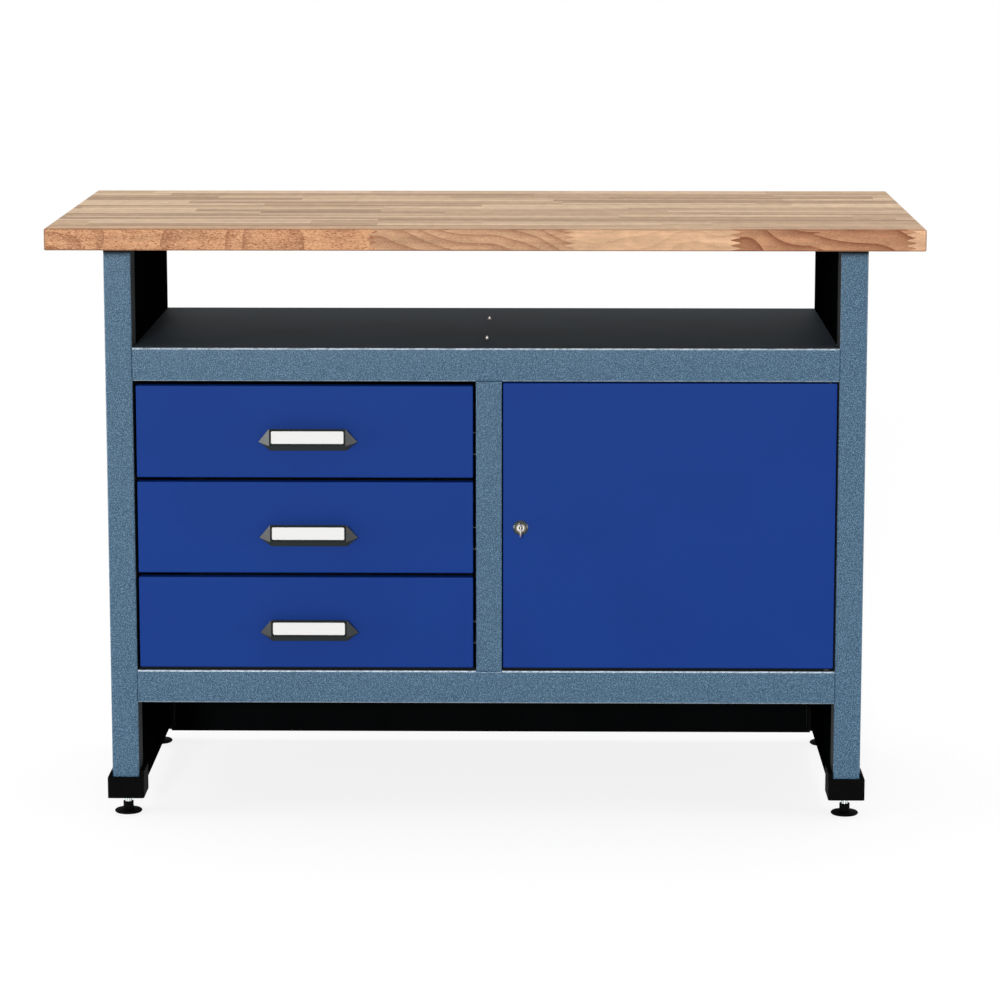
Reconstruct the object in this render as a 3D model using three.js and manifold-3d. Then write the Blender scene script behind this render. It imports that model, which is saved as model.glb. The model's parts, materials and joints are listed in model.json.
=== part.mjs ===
// Workbench with a beech block worktop, a tool tray, three drawers and a lockable cupboard.
// Millimetres. +Z is up, +X is to the right seen from the front, and the front faces -Y.
// The origin is on the floor, under the middle of the worktop.

import * as THREE from 'three';
import { ConvexGeometry } from 'three/addons/geometries/ConvexGeometry.js';
import { RoundedBoxGeometry } from 'three/addons/geometries/RoundedBoxGeometry.js';
import { mergeVertices } from 'three/addons/utils/BufferGeometryUtils.js';
import Module from 'manifold-3d';

const wasm = await Module();
wasm.setup();

// Worktop
const topLength = 1200;
const topDepth = 600;
const topThickness = 30;
const topHeight = 840;
const topEdgeBevel = 1.5;

// Folded steel frame: legs, rails and centre post
const endOverhang = 72;
const frontOverhang = 65;
const frameSheet = 1.5;
const frameBend = 1.2;
const legWidth = 38;
const legDepth = 50;
const legLip = 12;
const railHeight = 47;
const railDepth = 18;
const railLip = 12;
const upperRailTop = 668.5;
const lowerRailTop = 211.5;
const postWidth = 36.6;
const postDepth = 23;
const postLip = 9;
const postCentre = 4.7;

// Carcass sheets
const carcassSheet = 1.2;
const sideBottom = 33;
const sideFlange = 25;
const topScrewRadius = 3.2;
const topScrewPitch = 130;
const backInset = 45;
const backBottom = 22;
const backFlange = 40;
const trayFlange = 20;
const floorFlange = 22;
const partitionFace = -10;
const partitionFlange = 20;

// Cupboard shelf on two angle rails
const shelfTop = 415;
const shelfFlange = 20;
const shelfFrontSetback = 40;
const shelfRearSetback = 15;
const shelfRailHeight = 22;
const shelfRailLedge = 18;
const shelfRailInset = 12;

// Drawers
const drawerCount = 3;
const drawerSheet = 1;
const frontDepth = 18;
const frontLip = 14;
const frontEdgeRadius = 1.6;
const frontTopGap = 6.3;
const frontBottomGap = 4.3;
const frontLegGap = 4;
const frontPostGap = 3.9;
const boxRise = 12;
const boxHeight = 92;
const boxRearGap = 22;
const boxBend = 1;
const rimWidth = 5;
const rimDrop = 6;

// Drawer runners: a lipped channel on the carcass, a hat section on the drawer
const runnerSheet = 1.2;
const runnerBend = 0.6;
const runnerHeight = 32;
const runnerDepth = 11;
const runnerLip = 6;
const runnerRise = 30;
const runnerFrontSetback = 25;
const runnerRearSetback = 12;
const slideRearSetback = 8;
const slideBend = 0.15;

// Drawer handles with a label window, open at the top for the fingers
const handleTipSpan = 137.5;
const handleTipOut = 7;
const handlePlateWidth = 106;
const handlePlateTop = 20;
const handlePlateBottom = -4;
const handleOut = 20;
const handleRootTop = 16.5;
const handleRootBottom = -13.5;
const handleDrop = 77.5;
const handleShift = 5;
const handlePlateWall = 3.2;
const handleBackWall = 2.5;
const handleEndWall = 6;
const handlePocketFloor = -3;
const labelWidth = 100.5;
const labelHeight = 17.4;
const labelCorner = 2;
const labelThickness = 1;
const labelRecess = 1.2;

// Cupboard door on pivot pins
const doorSheet = 1.2;
const doorDepth = 18;
const doorLip = 14;
const doorTopGap = 1.8;
const doorBottomGap = 4.3;
const doorPostGap = 1.4;
const doorLegGap = 2.5;
const pinFromEdge = 9;
const pinFromFace = 5;
const pinRadius = 2.5;
const pinHeadRadius = 4.6;
const pinHeadThickness = 2;
const pinInDoor = 14;
const pinInRail = 8;
const pivotLength = 34;
const pivotThickness = 4;

// Cam lock with its key
const lockFromPost = 26;
const lockHeight = 416;
const rosetteRadius = 10.5;
const rosetteThickness = 2.6;
const rosetteFace = 8.6;
const rosetteEdge = 1;
const collarRadius = 6.6;
const collarProud = 0.9;
const barrelRadius = 8;
const camBehindPost = 1.2;
const plugRadius = 5.2;
const plugSunk = 0.5;
const spindleRadius = 3;
const spindleLength = 5;
const nutFlats = 20;
const nutThickness = 4;
const camReach = 36;
const camWidth = 13;
const camThickness = 2.4;
const keyThickness = 2;
const keyBladeHeight = 7.6;
const keyBladeDepth = 20;
const keyShoulder = 5;
const keyBowHeight = 19;
const keyBowLength = 20;
const keyBowCorner = 6;
const keyRingRadius = 3;
const keyRingOffset = 5;

// Foot caps and levelling feet
const capWall = 6.7;
const capBottom = 27;
const capFloor = 8;
const capFrontTop = 57;
const capSideTop = 64.5;
const capCorner = 4;
const capShoulderWidth = 4.8;
const capShoulderDrop = 8.3;
const padRadius = 19.4;
const padThickness = 3.8;
const padEdge = 1.3;
const padCrown = 5.4;
const neckRadius = 7.3;
const neckTop = 15.5;
const socketRadius = 6.2;
const socketDepth = 2.5;
const studRadius = 5;
const studTop = 62;

// Clearances, how far a cutting tool reaches past a face, and facet counts
const fitGap = 0.3;
const slideGap = 0.4;
const pinGap = 0.3;
const lockGap = 0.3;
const through = 1;
const bendSteps = 3;
const edgeSteps = 2;
const arcSteps = 6;
const roundSteps = 24;
const smallSteps = 16;

// Planes and levels that several pieces share
const frameWidth = topLength - 2 * endOverhang;
const frameDepth = topDepth - 2 * frontOverhang;
const frontPlane = -frameDepth / 2;
const rearPlane = frameDepth / 2;
const legInner = frameWidth / 2 - legWidth;
const legX = (frameWidth - legWidth) / 2;
const legY = (frameDepth - legDepth) / 2;
const legBottom = capBottom + capFloor;
const topUnderside = topHeight - topThickness;
const panelInner = legInner - carcassSheet;
const backFace = rearPlane - backInset;
const railBack = frontPlane + railDepth;
const upperRailBottom = upperRailTop - railHeight;
const postLeft = postCentre - postWidth / 2;
const postRight = postCentre + postWidth / 2;
const partitionFront = frontPlane + postDepth + fitGap;
const barrelLength = postDepth + camBehindPost - lockGap;

// Finishes, as colour, roughness and metalness
const finishes = {
  beech: [0xc7a482, 0.55, 0],
  hammertone: [0x58748a, 0.45, 0.3],
  blue: [0x1f3f89, 0.4, 0],
  black: [0x0c0c0e, 0.5, 0],
  trayGrey: [0x2f3437, 0.35, 0],
  galvanised: [0xa9adb0, 0.4, 0.9],
  handlePlastic: [0x33383a, 0.45, 0],
  label: [0xf0f0ee, 0.5, 0],
  nickel: [0xc9c9c2, 0.25, 1],
  footPlastic: [0x0e0e0e, 0.55, 0],
};

// Solids: joining, cutting and simple shapes

function solid(geometry) {
  const bare = geometry.clone();
  bare.deleteAttribute('normal');
  bare.deleteAttribute('uv');
  const merged = mergeVertices(bare);
  const vertProperties = new Float32Array(merged.attributes.position.array);
  const triVerts = new Uint32Array(merged.index.array);
  return new wasm.Manifold(new wasm.Mesh({ numProp: 3, vertProperties, triVerts }));
}

function geometryOf(body) {
  const mesh = body.getMesh();
  const geometry = new THREE.BufferGeometry();
  geometry.setAttribute('position', new THREE.BufferAttribute(mesh.vertProperties, 3));
  geometry.setIndex(new THREE.BufferAttribute(mesh.triVerts, 1));
  geometry.computeVertexNormals();
  return geometry;
}

function cut(body, ...tools) {
  return tools.reduce((rest, tool) => rest.subtract(tool), body);
}

function join(body, ...others) {
  return others.reduce((sum, other) => sum.add(other), body);
}

function middle(range) {
  return (range[0] + range[1]) / 2;
}

function span(range) {
  return range[1] - range[0];
}

function block(x, y, z) {
  const box = new THREE.BoxGeometry(span(x), span(y), span(z));
  return solid(box.translate(middle(x), middle(y), middle(z)));
}

function roundedBlock(x, y, z, radius) {
  const box = new RoundedBoxGeometry(span(x), span(y), span(z), edgeSteps, radius);
  return solid(box.translate(middle(x), middle(y), middle(z)));
}

// A sheet box: open on the named faces, one sheet thick on the others
function sheetBox(x, y, z, sheet, openFaces) {
  const inside = [x, y, z].map((range, axis) => {
    const letter = 'xyz'[axis];
    const low = openFaces.includes('-' + letter) ? range[0] - through : range[0] + sheet;
    const high = openFaces.includes('+' + letter) ? range[1] + through : range[1] - sheet;
    return [low, high];
  });
  return cut(block(x, y, z), block(...inside));
}

// A folded front: rounded at its face, open at the back, with lips turned in behind
function foldedFront(x, y, z, sheet, lip, radius) {
  const face = roundedBlock(x, [y[0], y[1] + 2 * radius], z, radius);
  const behind = block(x, [y[1], y[1] + 2 * radius + through], z);
  const inner = (range, inset) => [range[0] + inset, range[1] - inset];
  const hollow = block(inner(x, sheet), inner(y, sheet), inner(z, sheet));
  const mouth = block(inner(x, lip), [middle(y), y[1] + through], inner(z, lip));
  return cut(face, behind, hollow, mouth);
}

// The outline of a sheet folded at right angles, drawn along its middle line
function foldedOutline(points, sheet, insideBend) {
  const radius = insideBend + sheet / 2;
  const corners = points.map(([u, v]) => new THREE.Vector2(u, v));
  const origin = new THREE.Vector2();
  const leftOf = (along) => new THREE.Vector2(-along.y, along.x).normalize();
  const left = [];
  const right = [];
  const addPair = (point, normal) => {
    left.push(point.clone().addScaledVector(normal, sheet / 2));
    right.unshift(point.clone().addScaledVector(normal, -sheet / 2));
  };
  corners.forEach((corner, index) => {
    const before = corners[index - 1];
    const after = corners[index + 1];
    if (!before || !after) {
      const along = before ? corner.clone().sub(before) : after.clone().sub(corner);
      addPair(corner, leftOf(along));
      return;
    }
    const into = corner.clone().sub(before).normalize();
    const out = after.clone().sub(corner).normalize();
    const turn = Math.sign(into.cross(out));
    const start = corner.clone().addScaledVector(into, -radius);
    const centre = start.addScaledVector(leftOf(into), turn * radius);
    for (let step = 0; step <= bendSteps; step += 1) {
      const normal = leftOf(into).rotateAround(origin, (turn * step * Math.PI) / 2 / bendSteps);
      addPair(centre.clone().addScaledVector(normal, -turn * radius), normal);
    }
  });
  return new THREE.Shape([...left, ...right]);
}

// Extrusions of an outline: along +Z, along +X (outline in Y and Z), along -Y (outline in X and Z)
function alongZ(shape, length) {
  return new THREE.ExtrudeGeometry(shape, { depth: length, bevelEnabled: false, curveSegments: arcSteps });
}

function alongX(shape, length) {
  const turned = new THREE.Matrix4().makeBasis(
    new THREE.Vector3(0, 1, 0),
    new THREE.Vector3(0, 0, 1),
    new THREE.Vector3(1, 0, 0),
  );
  return alongZ(shape, length).applyMatrix4(turned);
}

function alongY(shape, length) {
  return alongZ(shape, length).rotateX(Math.PI / 2);
}

function shapeOf(points) {
  return new THREE.Shape(points.map(([u, v]) => new THREE.Vector2(u, v)));
}

function rectangle(width, height, corner) {
  const shape = new THREE.Shape();
  const x = width / 2;
  const y = height / 2;
  shape.moveTo(x, y - corner);
  shape.absarc(x - corner, y - corner, corner, 0, Math.PI / 2);
  shape.absarc(-x + corner, y - corner, corner, Math.PI / 2, Math.PI);
  shape.absarc(-x + corner, -y + corner, corner, Math.PI, 1.5 * Math.PI);
  shape.absarc(x - corner, -y + corner, corner, 1.5 * Math.PI, 2 * Math.PI);
  return shape;
}

// A turned solid about the Y axis, from [radius, y] points that start and end on the axis
function turnedY(points, steps) {
  const profile = points.map(([radius, y]) => new THREE.Vector2(radius, y));
  return solid(new THREE.LatheGeometry(profile, steps));
}

function rodY(radius, y, steps) {
  return turnedY([[0, y[0]], [radius, y[0]], [radius, y[1]], [0, y[1]]], steps);
}

function turnedZ(points, steps) {
  return turnedY(points, steps).rotate([90, 0, 0]);
}

function rodZ(radius, z, steps) {
  return rodY(radius, z, steps).rotate([90, 0, 0]);
}

const bench = new THREE.Group();

function addPart(parent, name, body, finish) {
  const [color, roughness, metalness] = finishes[finish];
  const geometry = body.isBufferGeometry ? geometryOf(solid(body)) : geometryOf(body);
  const material = new THREE.MeshStandardMaterial({ color, roughness, metalness });
  const mesh = new THREE.Mesh(geometry, material);
  mesh.name = name;
  parent.add(mesh);
  return mesh;
}

function addGroup(parent, x, y, z) {
  const group = new THREE.Group();
  group.position.set(x, y, z);
  parent.add(group);
  return group;
}

// Worktop

function buildWorktop() {
  const x = topLength / 2 - topEdgeBevel;
  const y = topDepth / 2 - topEdgeBevel;
  const top = new THREE.ExtrudeGeometry(shapeOf([[-x, -y], [x, -y], [x, y], [-x, y]]), {
    depth: topThickness - 2 * topEdgeBevel,
    bevelThickness: topEdgeBevel,
    bevelSize: topEdgeBevel,
    bevelSegments: 1,
  });
  const mesh = addPart(bench, 'worktop', top, 'beech');
  mesh.position.z = topUnderside + topEdgeBevel;
}

// Legs, rails and centre post

function lippedChannel(width, depth, lip) {
  const x = (width - frameSheet) / 2;
  const near = frameSheet / 2;
  const far = depth - frameSheet / 2;
  const lipEnd = width / 2 - lip;
  return foldedOutline(
    [[lipEnd, far], [x, far], [x, near], [-x, near], [-x, far], [-lipEnd, far]],
    frameSheet,
    frameBend,
  );
}

function buildLeg(name, x, y, turn) {
  const outline = lippedChannel(legWidth, legDepth, legLip);
  const leg = alongZ(outline, topUnderside - legBottom).translate(0, -legDepth / 2, 0);
  const mesh = addPart(bench, name, leg, 'hammertone');
  mesh.position.set(x, y, legBottom);
  mesh.rotation.z = turn;
}

function buildRail(name, railTop, hingeFlange) {
  const outline = lippedChannel(railHeight, railDepth, railLip);
  const upright = alongZ(outline, 2 * legInner);
  upright.rotateY(Math.PI / 2).translate(-legInner, frontPlane, railTop - railHeight / 2);
  const hole = rodZ(pinRadius + pinGap, [hingeFlange - frameSheet, hingeFlange + frameSheet], smallSteps);
  const rail = cut(solid(upright), hole.translate([pinX(), pinY(), 0]));
  addPart(bench, name, rail, 'hammertone');
}

function buildPost() {
  const outline = lippedChannel(postWidth, postDepth, postLip);
  const post = alongZ(outline, upperRailBottom - lowerRailTop);
  const mesh = addPart(bench, 'centre_post', post, 'hammertone');
  mesh.position.set(postCentre, frontPlane, lowerRailTop);
}

// Carcass: sides, back, tray, floor, partition and shelf

function buildSide(name, side) {
  const capReach = legY - legDepth / 2 - capWall - fitGap;
  const front = frontPlane + legDepth;
  const rear = rearPlane - frameSheet;
  const notchTop = capSideTop + fitGap;
  const outline = shapeOf([
    [front, notchTop],
    [-capReach, notchTop],
    [-capReach, sideBottom],
    [capReach, sideBottom],
    [capReach, notchTop],
    [rear, notchTop],
    [rear, topUnderside],
    [front, topUnderside],
  ]);
  const web = solid(alongX(outline, carcassSheet).translate(panelInner, 0, 0));
  const outward = [panelInner, panelInner + sideFlange];
  const frontFlange = block(outward, [front, front + carcassSheet], [notchTop, topUnderside]);
  const rearLip = rearPlane - legDepth;
  const topFlange = block(outward, [front, rearLip], [topUnderside - carcassSheet, topUnderside]);
  const holeZ = [topUnderside - 2 * carcassSheet, topUnderside + through];
  const holes = [-topScrewPitch, 0, topScrewPitch].map((y) => (
    rodZ(topScrewRadius, holeZ, smallSteps).translate([middle(outward), y, 0])
  ));
  const panel = cut(join(web, frontFlange, topFlange), ...holes);
  addPart(bench, name, side > 0 ? panel : panel.mirror([1, 0, 0]), 'black');
}

function buildBack() {
  const reach = panelInner - fitGap;
  const top = upperRailTop - carcassSheet - fitGap;
  const y = [backFace, backFace + backFlange];
  const back = sheetBox([-reach, reach], y, [backBottom, top], carcassSheet, ['+y', '+z']);
  const capEdge = legInner - capWall - fitGap;
  const notchY = [y[0] - through, y[1] + through];
  const notchZ = [capBottom - fitGap, capSideTop + fitGap];
  const notches = [[-legInner, -capEdge], [capEdge, legInner]].map((x) => block(x, notchY, notchZ));
  addPart(bench, 'back_panel', cut(back, ...notches), 'black');
}

function buildTray() {
  const reach = panelInner - fitGap;
  const x = [-reach, reach];
  const z = [upperRailTop - trayFlange, upperRailTop];
  const tray = sheetBox(x, [railBack, rearPlane], z, carcassSheet, ['-z']);
  const cornerY = [backFace - fitGap, rearPlane - carcassSheet];
  const cornerZ = [z[0] - through, z[1] - carcassSheet];
  const corners = [-reach - through, reach - carcassSheet].map((start) => (
    block([start, start + carcassSheet + through], cornerY, cornerZ)
  ));
  addPart(bench, 'tool_tray', cut(tray, ...corners), 'trayGrey');
}

function buildFloor() {
  const reach = panelInner - fitGap;
  const y = [railBack, backFace];
  const z = [lowerRailTop - floorFlange, lowerRailTop];
  addPart(bench, 'cabinet_floor', sheetBox([-reach, reach], y, z, carcassSheet, ['-z']), 'black');
}

function buildPartition() {
  const x = [partitionFace, partitionFace + partitionFlange];
  const y = [partitionFront, backFace];
  const z = [lowerRailTop, upperRailTop - carcassSheet];
  addPart(bench, 'partition', sheetBox(x, y, z, carcassSheet, ['+x']), 'black');
}

function buildShelf() {
  const left = partitionFace + carcassSheet;
  const y = [frontPlane + shelfFrontSetback, backFace - shelfRearSetback];
  const x = [left + fitGap, panelInner - fitGap];
  const z = [shelfTop - shelfFlange, shelfTop];
  addPart(bench, 'shelf', sheetBox(x, y, z, carcassSheet, ['-z', '-x', '+x']), 'black');

  const railY = [y[0] + shelfRailInset, y[1] - shelfRailInset];
  const railTop = shelfTop - carcassSheet;
  const railZ = [railTop - shelfRailHeight, railTop];
  const leftX = [left, left + shelfRailLedge];
  const rightX = [panelInner - shelfRailLedge, panelInner];
  const leftRail = sheetBox(leftX, railY, railZ, carcassSheet, ['+x', '-z', '-y', '+y']);
  const rightRail = sheetBox(rightX, railY, railZ, carcassSheet, ['-x', '-z', '-y', '+y']);
  addPart(bench, 'shelf_rail_left', leftRail, 'black');
  addPart(bench, 'shelf_rail_right', rightRail, 'black');
}

// Drawers

const frontLeft = -legInner + frontLegGap;
const frontRight = postLeft - frontPostGap;
const frontPitch = (upperRailBottom - lowerRailTop - frontBottomGap) / drawerCount;
const frontHeight = frontPitch - frontTopGap;
const boxLeft = -panelInner + runnerDepth + fitGap;
const boxRight = partitionFace - runnerDepth - fitGap;
const boxFront = frontPlane + frontDepth;
const boxRear = backFace - boxRearGap;
const runnerFront = boxFront + runnerFrontSetback;
const runnerRear = backFace - runnerRearSetback;

// The fixed channel, with its back at x = 0, its mouth towards +X and its middle at z = 0
function runnerOutline() {
  const web = runnerSheet / 2;
  const mouth = runnerDepth - runnerSheet / 2;
  const edge = (runnerHeight - runnerSheet) / 2;
  const lipEnd = runnerHeight / 2 - runnerLip;
  return foldedOutline(
    [[mouth, lipEnd], [mouth, edge], [web, edge], [web, -edge], [mouth, -edge], [mouth, -lipEnd]],
    runnerSheet,
    runnerBend,
  );
}

// The hat section on the drawer: its brims run behind the channel's lips, its crown meets the drawer
function slideOutline() {
  const brimX = runnerDepth - runnerSheet - slideGap - runnerSheet / 2;
  const crownX = runnerDepth + fitGap - runnerSheet / 2;
  const brimEnd = runnerHeight / 2 - runnerSheet - slideGap;
  const crown = runnerHeight / 2 - runnerLip - slideGap - runnerSheet / 2;
  return foldedOutline(
    [
      [brimX, brimEnd],
      [brimX, crown],
      [crownX, crown],
      [crownX, -crown],
      [brimX, -crown],
      [brimX, -brimEnd],
    ],
    runnerSheet,
    slideBend,
  );
}

function buildRunnerPair(number, drawer, boxBottom) {
  const level = boxBottom + runnerRise;
  const sides = [['left', -panelInner, 0], ['right', partitionFace, Math.PI]];
  sides.forEach(([side, face, turn]) => {
    const runner = alongY(runnerOutline(), runnerRear - runnerFront);
    const slideRear = boxRear - slideRearSetback;
    const slide = alongY(slideOutline(), slideRear - boxFront - runnerFrontSetback);
    const fixed = addPart(bench, `runner_${side}_${number}`, runner.rotateY(turn), 'galvanised');
    fixed.position.set(face, runnerRear, level);
    const moving = addPart(drawer, `drawer_slide_${side}_${number}`, slide.rotateY(turn), 'galvanised');
    moving.position.set(face, slideRear, level);
  });
}

function handleBody() {
  const plate = handlePlateWidth / 2;
  const corners = [];
  [-1, 1].forEach((side) => {
    corners.push(new THREE.Vector3(side * handleTipSpan / 2, 0, 0));
    corners.push(new THREE.Vector3(side * handleTipSpan / 2, -handleTipOut, 0));
    corners.push(new THREE.Vector3(side * plate, 0, handleRootTop));
    corners.push(new THREE.Vector3(side * plate, 0, handleRootBottom));
    corners.push(new THREE.Vector3(side * plate, -handleOut, handlePlateTop));
    corners.push(new THREE.Vector3(side * plate, -handleOut, handlePlateBottom));
  });
  const pocketX = plate - handleEndWall;
  const pocketY = [-handleOut + handlePlateWall, -handleBackWall];
  const pocket = block([-pocketX, pocketX], pocketY, [handlePocketFloor, handlePlateTop + through]);
  const window = rectangle(labelWidth + 2 * fitGap, labelHeight + 2 * fitGap, labelCorner);
  const recess = solid(alongY(window, labelRecess + through));
  const recessY = -handleOut + labelRecess;
  return cut(solid(new ConvexGeometry(corners)), pocket, recess.translate([0, recessY, labelLevel()]));
}

function labelLevel() {
  return (handlePlateTop + handlePlateBottom) / 2;
}

// The drawer box: walls and floor folded from one sheet with rims turned out and down, and two end plates
function drawerBox(z) {
  const half = drawerSheet / 2;
  const [left, right] = [boxLeft + half, boxRight - half];
  const [low, high] = [z[0] + half, z[1] - half];
  const outline = foldedOutline(
    [
      [left - rimWidth, high - rimDrop],
      [left - rimWidth, high],
      [left, high],
      [left, low],
      [right, low],
      [right, high],
      [right + rimWidth, high],
      [right + rimWidth, high - rimDrop],
    ],
    drawerSheet,
    boxBend,
  );
  const trough = solid(alongY(outline, boxRear - boxFront).translate(0, boxRear, 0));
  const ends = [boxFront, boxRear - drawerSheet].map((y) => (
    block([left, right], [y, y + drawerSheet], [low, high - rimDrop])
  ));
  return join(trough, ...ends);
}

function buildDrawer(index) {
  const number = index + 1;
  const frontTop = upperRailBottom - frontTopGap - index * frontPitch;
  const frontBottom = frontTop - frontHeight;
  const drawer = addGroup(bench, 0, 0, 0);
  const frontX = [frontLeft, frontRight];
  const frontY = [frontPlane, boxFront];
  const frontZ = [frontBottom, frontTop];
  const front = foldedFront(frontX, frontY, frontZ, drawerSheet, frontLip, frontEdgeRadius);
  addPart(drawer, `drawer_front_${number}`, front, 'blue');

  const boxBottom = frontBottom + boxRise;
  addPart(drawer, `drawer_box_${number}`, drawerBox([boxBottom, boxBottom + boxHeight]), 'black');
  buildRunnerPair(number, drawer, boxBottom);

  const handle = addGroup(drawer, middle(frontX) + handleShift, frontPlane, frontTop - handleDrop);
  addPart(handle, `drawer_handle_${number}`, handleBody(), 'handlePlastic');
  const card = alongY(rectangle(labelWidth, labelHeight, labelCorner), labelThickness);
  const label = addPart(handle, `label_card_${number}`, card, 'label');
  label.position.set(0, -handleOut + labelRecess, labelLevel());
}

// Door on its pivot pins

const doorLeft = postRight + doorPostGap;
const doorRight = legInner - doorLegGap;
const doorBottom = lowerRailTop + doorBottomGap;
const doorTop = upperRailBottom - doorTopGap;
const lockX = postRight + lockFromPost;

function pinX() {
  return legInner - doorLegGap - pinFromEdge;
}

function pinY() {
  return frontPlane + pinFromFace;
}

function buildDoor() {
  const door = addGroup(bench, pinX(), pinY(), 0);
  const x = [doorLeft - pinX(), doorRight - pinX()];
  const y = [-pinFromFace, doorDepth - pinFromFace];
  const z = [doorBottom, doorTop];
  const pan = foldedFront(x, y, z, doorSheet, doorLip, frontEdgeRadius);
  const pinHole = rodZ(pinRadius + pinGap, [doorBottom - through, doorTop + through], smallSteps);
  const lockHole = rodY(barrelRadius + lockGap, [y[0] - through, y[0] + doorSheet + through], roundSteps);
  const lockPlace = [lockX - pinX(), 0, lockHeight];
  addPart(door, 'door_panel', cut(pan, pinHole, lockHole.translate(lockPlace)), 'blue');

  const pivotX = [x[1] - doorSheet - pivotLength, x[1] - doorSheet];
  const pivotY = [y[0] + doorSheet, y[1] - doorSheet];
  const levels = { bottom: doorBottom + doorSheet, top: doorTop - doorSheet - pivotThickness };
  Object.entries(levels).forEach(([place, level]) => {
    const plate = block(pivotX, pivotY, [level, level + pivotThickness]);
    addPart(door, `door_pivot_${place}`, cut(plate, pinHole), 'galvanised');
  });
}

// The upper pin stands through the door's top fold into the upper rail and bears under its pivot plate.
// The lower pin stands in the lower rail, and its head carries the door.
function buildPins() {
  const pins = addGroup(bench, pinX(), pinY(), 0);
  const headTop = doorTop - doorSheet - pivotThickness;
  const headRadius = pinFromFace - doorSheet - fitGap;
  const upper = turnedZ([
    [0, headTop - pinHeadThickness],
    [headRadius, headTop - pinHeadThickness],
    [headRadius, headTop],
    [pinRadius, headTop],
    [pinRadius, upperRailBottom + pinInRail],
    [0, upperRailBottom + pinInRail],
  ], smallSteps);
  addPart(pins, 'hinge_pin_top', upper, 'black');
  const lower = turnedZ([
    [0, lowerRailTop - pinInRail],
    [pinRadius, lowerRailTop - pinInRail],
    [pinRadius, lowerRailTop],
    [pinHeadRadius, lowerRailTop],
    [pinHeadRadius, doorBottom - fitGap],
    [pinRadius, doorBottom - fitGap],
    [pinRadius, doorBottom + pinInDoor],
    [0, doorBottom + pinInDoor],
  ], smallSteps);
  addPart(pins, 'hinge_pin_bottom', lower, 'black');
}

// Cam lock, built about its own axis with the door's face at y = 0

function buildLock() {
  const lock = addGroup(bench, lockX, frontPlane, lockHeight);
  const collarFace = -rosetteThickness - collarProud;
  const bore = rodY(plugRadius + lockGap, [collarFace - through, barrelLength + through], roundSteps);
  const housing = turnedY([
    [0, collarFace],
    [collarRadius, collarFace],
    [collarRadius, -rosetteThickness],
    [rosetteFace, -rosetteThickness],
    [rosetteRadius, -rosetteEdge],
    [rosetteRadius, 0],
    [barrelRadius, 0],
    [barrelRadius, barrelLength],
    [0, barrelLength],
  ], roundSteps);
  addPart(lock, 'lock_housing', cut(housing, bore), 'nickel');

  const nutY = [doorSheet, doorSheet + nutThickness];
  const hexagon = rodY(nutFlats / Math.sqrt(3), nutY, 6);
  const nutBore = rodY(barrelRadius + lockGap, [0, nutY[1] + through], roundSteps);
  addPart(lock, 'lock_nut', cut(hexagon, nutBore), 'galvanised');

  const plugFace = collarFace + plugSunk;
  const plug = turnedY([
    [0, plugFace],
    [plugRadius, plugFace],
    [plugRadius, barrelLength],
    [spindleRadius, barrelLength],
    [spindleRadius, barrelLength + spindleLength],
    [0, barrelLength + spindleLength],
  ], roundSteps);
  const slotX = keyThickness / 2 + lockGap;
  const slotZ = keyBladeHeight / 2 + lockGap;
  const slotY = [plugFace - through, plugFace + keyBladeDepth + lockGap];
  addPart(lock, 'lock_plug', cut(plug, block([-slotX, slotX], slotY, [-slotZ, slotZ])), 'nickel');

  const camY = barrelLength + lockGap;
  const camShape = new THREE.Shape();
  camShape.absarc(0, 0, camWidth / 2, 0, Math.PI);
  camShape.lineTo(-camWidth / 2, -camReach);
  camShape.lineTo(camWidth / 2, -camReach);
  const spindleHole = rodY(spindleRadius + lockGap, [0, camY + 2 * camThickness], smallSteps);
  const camPlate = solid(alongY(camShape, camThickness).translate(0, camY + camThickness, 0));
  addPart(lock, 'lock_cam', cut(camPlate, spindleHole), 'galvanised');

  const blade = block(
    [-keyThickness / 2, keyThickness / 2],
    [plugFace - keyShoulder, plugFace + keyBladeDepth],
    [-keyBladeHeight / 2, keyBladeHeight / 2],
  );
  const bowOutline = rectangle(keyBowLength, keyBowHeight, keyBowCorner);
  const ring = new THREE.Path();
  ring.absarc(-keyRingOffset, 0, keyRingRadius, 0, 2 * Math.PI);
  bowOutline.holes.push(ring);
  const bow = solid(alongX(bowOutline, keyThickness).translate(-keyThickness / 2, 0, 0));
  const bowY = plugFace - keyShoulder - keyBowLength / 2 + through;
  addPart(lock, 'key', join(blade, bow.translate([0, bowY, 0])), 'nickel');
}

// Feet, each built about the leg's middle line with its front towards -Y

// The cap's outer side slopes off at the top; outward is -1 or 1 along X
function footCap(outward) {
  const outerX = legWidth / 2 + capWall;
  const outerY = legDepth / 2 + capWall;
  const cup = solid(alongZ(rectangle(2 * outerX, 2 * outerY, capCorner), capSideTop - capBottom));
  const pocketX = legWidth / 2 + fitGap;
  const pocketY = legDepth / 2 + fitGap;
  const top = capSideTop + through;
  const pocket = block([-pocketX, pocketX], [-pocketY, pocketY], [legBottom, top]);
  const acrossX = [-outerX - through, outerX + through];
  const frontCut = block(acrossX, [-outerY - through, -pocketY], [capFrontTop, top]);
  const studHole = rodZ(studRadius + fitGap, [capBottom - through, legBottom + through], smallSteps);
  const slope = shapeOf([
    [outward * (outerX - 2 * capShoulderWidth), capSideTop + capShoulderDrop],
    [outward * (outerX + capShoulderWidth), capSideTop - 2 * capShoulderDrop],
    [outward * (outerX + capShoulderWidth), capSideTop + capShoulderDrop],
  ]);
  const shoulder = solid(alongY(slope, 4 * outerY).translate(0, 2 * outerY, 0));
  return cut(cup.translate([0, 0, capBottom]), pocket, frontCut, studHole, shoulder);
}

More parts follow.
